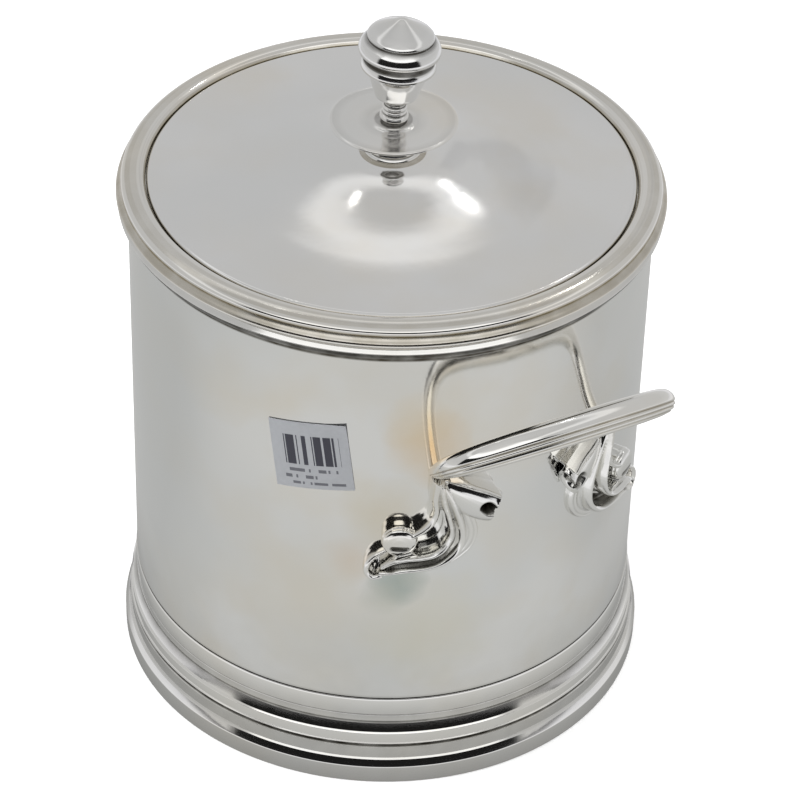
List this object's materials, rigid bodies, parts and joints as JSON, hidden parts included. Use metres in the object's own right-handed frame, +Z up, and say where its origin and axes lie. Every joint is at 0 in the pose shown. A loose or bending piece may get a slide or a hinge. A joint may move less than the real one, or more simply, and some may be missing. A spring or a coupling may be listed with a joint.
{
  "type": "covered sugar bowl",
  "caption": "Round straight-sided covered silver bowl on a stepped foot, with a lift-off lid, a turned finial and a reeded loop handle on leaf-and-scroll mounts.",
  "frame": {"origin": "middle of the foot's underside, on the bowl's axis", "axes": "+Z up along the bowl's axis, +X out through the middle of the handle, +Y follows the right-hand rule"},
  "size_m": [0.1671, 0.1476, 0.1988],
  "materials": {
    "polished_silver": "polished silver, lightly tarnished in the seams",
    "wall_silver": "polished silver, softly mottled",
    "inner_silver": "satin silver",
    "brass": "dull brass",
    "paper": "matt coated paper"
  },
  "bodies": {
    "bowl": {"foot_ring": "polished_silver", "body_wall": "wall_silver", "body_floor": "inner_silver", "body_rim": "polished_silver", "handle_loop": "polished_silver", "leaf_mount_front": "polished_silver", "leaf_mount_back": "polished_silver", "stock_label": "paper"},
    "lid": {"lid_border": "polished_silver", "lid_flange": "inner_silver", "lid_cover": "polished_silver", "finial_collar": "polished_silver", "finial_disc": "polished_silver", "finial_stem": "polished_silver", "finial_cup": "polished_silver", "finial_ring": "polished_silver", "finial_cap": "polished_silver", "finial_stud": "brass", "finial_washer": "brass", "finial_nut": "brass"}
  },
  "joints": [
    {"name": "lid_lift", "type": "slide", "parent": "bowl", "child": "lid", "axis": [0, 0, 1], "range_m": [0, 0.04]}
  ]
}
